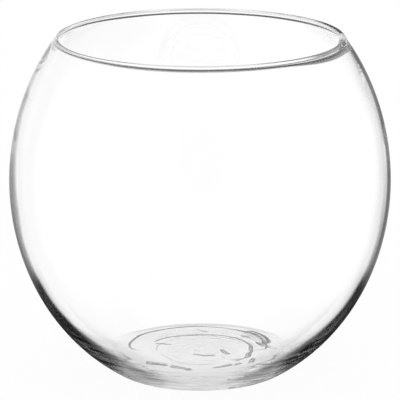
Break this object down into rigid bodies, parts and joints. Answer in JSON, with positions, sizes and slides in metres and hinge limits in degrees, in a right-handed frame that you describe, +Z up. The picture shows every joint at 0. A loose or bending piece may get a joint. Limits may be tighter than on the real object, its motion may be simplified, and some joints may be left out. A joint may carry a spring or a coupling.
{
  "type": "bubble vase",
  "caption": "Round clear glass bubble vase with a wide open mouth, a fire-polished lip and a flat base with a narrow ring foot, to hold flowers, water or a candle.",
  "frame": {"origin": "centre of the plane that the foot ring rests on", "axes": "+Z up along the axis of revolution, -Y toward the viewer, +X to the viewer's right"},
  "size_m": [0.18, 0.18, 0.16],
  "materials": {
    "clear_glass": "clear colourless soda-lime glass, smooth and fire-polished"
  },
  "bodies": {
    "root": {"vase_body": "clear_glass"}
  },
  "joints": []
}
